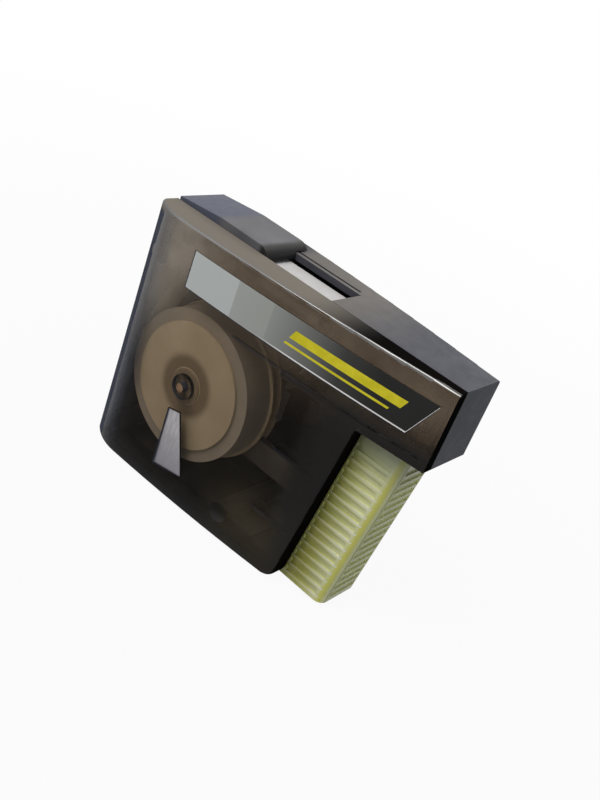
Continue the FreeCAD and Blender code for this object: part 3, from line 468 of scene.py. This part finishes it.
def reel_face():
    """The front of the supply reel, with a dark boss round its hub."""
    material = moulded("reel_face", dark=(228, 218, 198), light=(242, 233, 215), patch_mm=8.0,
                       rough=(0.35, 0.5))
    low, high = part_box("supply_front_flange")
    middle = (low + high) / 2
    from_side = stretched(material, 1.0, 0.0, 1.0)
    inputs = {0: from_side, 1: (middle.x, 0.0, middle.z)}
    from_middle = add(material, "ShaderNodeVectorMath", inputs, operation="DISTANCE").outputs["Value"]
    boss = fade_from(material, from_middle, 0.0, Band(11.4, 8.4))
    tinted(material, boss, colour=(160, 148, 132))
    return material


def drive_plastic():
    """Dark plastic of the drive."""
    return moulded("drive_plastic", dark=(66, 66, 70), light=(82, 82, 86), patch_mm=5.0,
                   rough=(0.35, 0.5))


def yellow_plastic():
    """Clear yellow plastic of the trigger, stronger in colour beside the case and in its thick corners.

    Painted highlights run along the upper edges of the ribs of its front and back, painted shade dims its
    top under the bar, and the grooves of its outer face are painted lighter to even out their shade.
    """
    material = moulded("yellow_plastic", dark=(230, 232, 172), light=(241, 243, 198), patch_mm=6.0,
                       rough=(0.16, 0.26), bump_mm=0.002, IOR=1.5, Specular_IOR_Level=0.25)
    low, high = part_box("trigger")
    across, deep, up = axes_of(material, places(material))
    to_right, to_back, _ = axes_of(material, directions(material))

    beside_case = fade_from(material, across, low.x, Band(20, 8, 0.85))
    tinted(material, beside_case, colour=(160, 157, 44))

    sideways = changed(material, "ABSOLUTE", to_back)
    corner = fade(material, both(material, to_right, sideways), Band(0.1, 0.4))
    tinted(material, corner, colour=(238, 235, 122))

    lean = TRIGGER_LEAN / BAR_FOOT
    leaning = combined(material, "MULTIPLY", up, lean)
    inward = combined(material, "SUBTRACT", leaning, across)
    groove = combined(material, "GREATER_THAN", inward, high.z * lean - high.x + RIB_DEPTH)
    # The outer face's grooves are painted lighter than its ribs: painted light that evens out the shade in
    # the grooves
    rib_colour, groove_painted_light = (186, 188, 122), (246, 247, 196)
    outer_face = fade(material, to_right, Band(0.6, 0.9))
    tinted(material, outer_face, mixed(material, groove, rib_colour, groove_painted_light))

    # Painted shade on the upper part, under the bar
    shade_under_bar = fade_from(material, up, high.z, Band(-16, -1, 0.6))
    tinted(material, shade_under_bar, colour=(122, 128, 116))

    # Painted highlights along the ribs, dimmed beside the case
    dimmed_beside_case = 0.85
    dimmed = combined(material, "MULTIPLY", beside_case, dimmed_beside_case)
    lit = combined(material, "SUBTRACT", 1.0, dimmed)
    painted_highlight = both(material, rib_highlights(material, deep, up), lit)
    tinted(material, painted_highlight, colour=(250, 251, 236))

    share = either(material, denser_at_a_slant(material, low=0.78, high=0.96), painted_highlight)
    see_through(material, tint=(0.97, 0.97, 0.62), share=share)
    return material


def rib_highlights(material, deep, up):
    """Painted highlights along the upper edges of the ribs on the trigger's front and back, weaker near the
    bar.
    """
    over_foot = combined(material, "SUBTRACT", up, GROOVE_FOOT)
    pitches = combined(material, "DIVIDE", over_foot, GROOVE_PITCH)
    crest = fade(material, changed(material, "FRACT", pitches), Band(0.79, 0.87))
    from_middle = changed(material, "ABSOLUTE", deep)
    on_face = combined(material, "GREATER_THAN", from_middle, TRIGGER_HALF - FACE_ROOM)
    top = GROOVE_FOOT + GROOVES * GROOVE_PITCH
    below_bar = fade_from(material, up, top, Band(0, -20, 0.85))
    return both(material, crest, on_face, below_bar)


def yellow_edge_highlight():
    """Painted highlight on the rounds of the clear yellow plastic, paler than the plastic."""
    return moulded("yellow_edge_highlight", dark=(232, 235, 202), light=(242, 244, 220), patch_mm=5.0,
                   rough=(0.14, 0.22), bump_mm=0.002, IOR=1.5)


def label_foil():
    """Satin foil with a painted highlight along its lower edge, printed with two bars on greys that darken
    to the right.
    """
    material = new_finish("label_foil", Metallic=0.15, Specular_IOR_Level=0.15)
    low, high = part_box("front_label")
    across, _, up = axes_of(material, places(material))
    length_share = between(material, across, low=0.0, high=1.0, start=low.x, end=high.x)
    greys = add(material, "ShaderNodeValToRGB", {"Fac": length_share})
    set_stops(greys, LABEL_GREYS)

    over_foot = combined(material, "SUBTRACT", up, low.z)
    along = combined(material, "SUBTRACT", across, low.x)
    leaning = combined(material, "MULTIPLY", over_foot, PRINT_SLANT)
    slanted = combined(material, "SUBTRACT", along, leaning)
    bars = [both(material, inside(material, slanted, start * MM, end * MM),
                 inside(material, over_foot, bottom * MM, top * MM))
            for start, end, bottom, top in BARS]
    ink = blended(material, grain(material, size_mm=3.0), dark=(204, 192, 30), light=(222, 210, 48))
    join(material, mixed(material, either(material, *bars), greys.outputs["Color"], ink), "Base Color")

    # Painted highlight along the lower edge, on its right part
    lower_edge_highlight = both(material, fade_from(material, over_foot, 0.0, Band(0.6, 0.4)),
                      fade_from(material, along, 0.0, Band(26, 42, 0.9)))
    tinted(material, lower_edge_highlight, colour=(240, 238, 236))

    join(material, between(material, grain(material, size_mm=1.2), low=0.3, high=0.42), "Roughness")
    add_bump(material, grain(material, size_mm=0.25, detail=2.0), depth_mm=0.003)
    return material


def foil_rim():
    """The bare cut edge of the label's foil."""
    return grained("foil_rim", dark=(222, 220, 218), light=(244, 243, 242), grain_mm=0.6,
                   rough=(0.1, 0.18), bump_mm=0.003, stretch=(0.2, 1.0, 1.0), Metallic=1.0)


def gauge_foil():
    """Brushed silver foil with upright lines, dimmer towards the wedge's foot."""
    material = grained("gauge_foil", dark=(146, 143, 146), light=(180, 177, 180), grain_mm=0.5,
                       rough=(0.28, 0.42), bump_mm=0.006, stretch=(1.0, 1.0, 0.12), Metallic=0.6)
    low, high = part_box("gauge_label")
    _, _, up = axes_of(material, places(material))
    tinted(material, fade(material, up, Band(high.z, low.z, 0.75)), colour=(112, 110, 117))
    return material


def steel():
    """Bright steel, its lines drawn out along the pins."""
    return grained("steel", dark=(150, 150, 152), light=(196, 196, 198), grain_mm=0.6, rough=(0.22, 0.4),
                   bump_mm=0.004, stretch=(1.0, 0.15, 1.0), Metallic=1.0)


def axle_steel():
    """The axle's end, browned with oil."""
    return grained("axle_steel", dark=(196, 166, 146), light=(226, 198, 176), grain_mm=0.8,
                   rough=(0.4, 0.55), bump_mm=0.01, Metallic=0.2)


def spring_steel():
    """Spring wire with a dark oxide."""
    return grained("spring_steel", dark=(44, 44, 48), light=(66, 66, 70), grain_mm=0.5, rough=(0.3, 0.45),
                   bump_mm=0.004, Metallic=0.7)


def felt():
    """Pressed felt of the brake."""
    return grained("felt", dark=(156, 145, 131), light=(194, 182, 167), grain_mm=0.3, rough=(0.85, 0.98),
                   bump_mm=0.08, detail=6.0, Sheen_Weight=0.4)


def pad_rubber():
    """Grey rubber of the pad under the tape."""
    return moulded("pad_rubber", dark=(150, 150, 154), light=(172, 172, 175), patch_mm=3.0,
                   rough=(0.6, 0.75), bump_mm=0.02)


def cleaning_tape():
    """Fine woven cleaning tape."""
    material = new_finish("cleaning_tape", Sheen_Weight=0.2)
    inputs = {"Vector": places(material), "Scale": 900.0, "Distortion": 1.0}
    threads = add(material, "ShaderNodeTexWave", inputs).outputs["Fac"]
    cloud = grain(material, size_mm=4.0)
    join(material, blended(material, cloud, dark=(194, 191, 189), light=(202, 199, 196)), "Base Color")
    join(material, between(material, threads, low=0.75, high=0.9, start=0.0, end=1.0), "Roughness")
    add_bump(material, threads, depth_mm=0.02)
    return material


FINISHES = {
    "smoky_plastic": smoky_plastic(),
    "slate_plastic": slate_plastic(),
    "label_foil": label_foil(),
    "gauge_foil": gauge_foil(),
    "steel": steel(),
    "spring_steel": spring_steel(),
    "felt": felt(),
    "white_plastic": white_plastic(),
    "pad_rubber": pad_rubber(),
    "cleaning_tape": cleaning_tape(),
    "yellow_plastic": yellow_plastic(),
    "drive_plastic": drive_plastic(),
}
# Pieces whose finish differs a little from the rest of their slot
OWN_FINISHES = {
    "shutter": lid_plastic(),
    "reel_axle": axle_steel(),
    "supply_front_flange": reel_face(),
}
BEHAVIOUR = frame["record"]["behaviour"]
SLOTS = {part["node"]: part["material_slot"] for part in frame["record"]["subparts"]}
BODIES = {node: body for body, names in BEHAVIOUR["bodies"].items() for node in names}


# Pieces


def dress():
    """Gives each piece its own finish or that of its slot."""
    for node, slot in SLOTS.items():
        nodes[node].data.materials.clear()
        nodes[node].data.materials.append(OWN_FINISHES.get(node) or FINISHES[slot])


def welded(node):
    """A piece's mesh with its faces joined at their edges."""
    shape = bmesh.new()
    shape.from_mesh(nodes[node].data)
    bmesh.ops.remove_doubles(shape, verts=shape.verts, dist=WELD)
    return shape


def stand_in(node, shape, *more_finishes):
    """Makes a mesh into the piece that stands for a CAD piece, with finishes to choose from."""
    mesh = bpy.data.meshes.new(f"{node}_finished")
    shape.to_mesh(mesh)
    shape.free()
    mesh.shade_smooth()
    mesh.set_sharp_from_angle(angle=math.radians(SHARP_EDGE))
    for finish in (nodes[node].data.materials[0], *more_finishes):
        mesh.materials.append(finish)
    piece = bpy.data.objects.new(f"{node}_finished", mesh)
    bpy.context.scene.collection.objects.link(piece)
    even = piece.modifiers.new("even_faces", "WEIGHTED_NORMAL")
    even.keep_sharp = True
    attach(piece, BODIES[node])
    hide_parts(node)
    return piece


def rounded(node, width_mm, *more_finishes):
    """A copy of a piece with its sharp edges rounded. Gives the faces of its rounds."""
    shape = welded(node)
    bmesh.ops.dissolve_limit(shape, angle_limit=math.radians(FLAT_EDGE), verts=shape.verts,
                             edges=shape.edges)
    edges = [edge for edge in shape.edges
             if edge.is_manifold and edge.calc_face_angle() > math.radians(SHARP_EDGE)]
    made = bmesh.ops.bevel(shape, geom=edges, offset=width_mm * MM, offset_type="OFFSET",
                           segments=ROUND_STEPS, profile=0.5, affect="EDGES", clamp_overlap=True)
    shape.faces.index_update()
    rounds = [face.index for face in made["faces"]]
    piece = stand_in(node, shape, *more_finishes)
    return [piece.data.polygons[index] for index in rounds]


def label():
    """The front label, with the bare cut of its foil on the edges that do not look up."""
    for face in rounded("front_label", LABEL_ROUND, foil_rim()):
        if face.normal.z < FOIL_UP:
            face.material_index = SECOND_FINISH


def trigger():
    """The trigger, with a painted highlight on the rounds that look to the front, to the back or up."""
    for face in rounded("trigger", TRIGGER_ROUND, yellow_edge_highlight()):
        if face.normal.z > -BRIGHT_DOWN and abs(face.normal.x) < BRIGHT_ALONG:
            face.material_index = SECOND_FINISH


def cover():
    """The front shell, see-through but for its polished top edge and the walls that are seen edge on."""
    piece = stand_in("front_shell", welded("front_shell"), smoky_rim(), smoky_edge())
    for face in piece.data.polygons:
        forward = -face.normal.y
        if EDGE_SLANT < forward < RIM_SLANT and face.normal.z > EDGE_SLANT:
            face.material_index = THIRD_FINISH
        elif abs(forward) < RIM_SLANT:
            face.material_index = SECOND_FINISH


def spring():
    """The return spring, on a mesh of its own."""
    piece = stand_in("return_spring", welded("return_spring"))
    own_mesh(piece)


# Studio


def white_to_sight(tree, output, shader, share=1.0):
    """Shows a shader with a share of plain white in what the eye, a mirror or a pane sees of it."""
    light_path = tree.nodes.new("ShaderNodeLightPath")
    seen = light_path.outputs["Is Camera Ray"]
    steps = [
        ("MAXIMUM", light_path.outputs["Is Glossy Ray"]),
        ("MAXIMUM", light_path.outputs["Is Transmission Ray"]),
        ("MULTIPLY", share),
    ]
    for operation, value in steps:
        node = tree.nodes.new("ShaderNodeMath")
        node.operation = operation
        tree.links.new(seen, node.inputs[0])
        feed(tree, node.inputs[1], value)
        seen = node.outputs["Value"]
    white = tree.nodes.new("ShaderNodeEmission")
    show(tree, output, seen, shader, white.outputs["Emission"])


def floor():
    """A pale round floor, nearly white to the eye round the object, and white further out."""
    radius, sides = 12.0, 64
    grey = 0.42
    white_near, near, far = 0.94, 0.1, 0.5
    turns = [2 * math.pi * side / sides for side in range(sides)]
    corners = [(radius * math.cos(turn), radius * math.sin(turn), -FLOOR_GAP) for turn in turns]
    mesh = bpy.data.meshes.new("floor")
    mesh.from_pydata(corners, [], [list(range(sides))])
    piece = bpy.data.objects.new("floor", mesh)
    bpy.context.scene.collection.objects.link(piece)
    material = new_finish("floor_white", Base_Color=(grey, grey, grey, 1), Roughness=0.9)
    inputs = {0: places(material)}
    away = add(material, "ShaderNodeVectorMath", inputs, operation="LENGTH").outputs["Value"]
    share = between(material, away, low=white_near, high=1.0, start=near, end=far)
    white_to_sight(material.node_tree, "Material Output", shader_of(material).outputs["BSDF"], share)
    mesh.materials.append(material)


def world():
    """A soft, slightly blue surround, plain white to the eye."""
    pale_blue, strength = (0.8, 0.88, 1.0, 1), 0.3
    surround = bpy.data.worlds.new("studio")
    bpy.context.scene.world = surround
    surround.use_nodes = True
    tree = surround.node_tree
    light = tree.nodes["Background"]
    light.inputs["Color"].default_value = pale_blue
    light.inputs["Strength"].default_value = strength
    white_to_sight(tree, "World Output", light.outputs["Background"])


def softbox(name, place, size, watts, colour=(1, 1, 1)):
    """A square lamp that looks at the object."""
    data = bpy.data.lights.new(name, "AREA")
    data.energy = watts
    data.size = size
    data.color = colour
    lamp = bpy.data.objects.new(name, data)
    bpy.context.scene.collection.objects.link(lamp)
    lamp.location = place
    lamp.rotation_euler = (LAMP_AIM - Vector(place)).to_track_quat("-Z", "Y").to_euler()


def camera():
    """The camera at the photograph's viewing angle."""
    data = bpy.data.cameras.new("camera")
    data.lens = LENS
    data.sensor_width = SENSOR
    data.clip_start = NEAREST_SEEN
    piece = bpy.data.objects.new("camera", data)
    bpy.context.scene.collection.objects.link(piece)
    back = Vector((
        math.sin(AZIMUTH) * math.cos(ELEVATION),
        -math.cos(AZIMUTH) * math.cos(ELEVATION),
        math.sin(ELEVATION),
    ))
    level = (-back).to_track_quat("-Z", "Y").to_matrix()
    turned = (level @ Matrix.Rotation(ROLL, 3, "Z")).to_4x4()
    piece.matrix_world = Matrix.Translation(AIM + back * DISTANCE) @ turned
    bpy.context.scene.camera = piece


dress()
label()
trigger()
spring()
cover()
rounded("shutter", LID_ROUND)
floor()
world()
softbox("key", place=(-0.25, -0.45, 0.85), size=0.6, watts=7.0, colour=(1, 0.97, 0.93))
softbox("back", place=(-0.1, 0.6, 0.45), size=0.5, watts=1.8)
camera()
bpy.context.scene.view_settings.view_transform = "Standard"
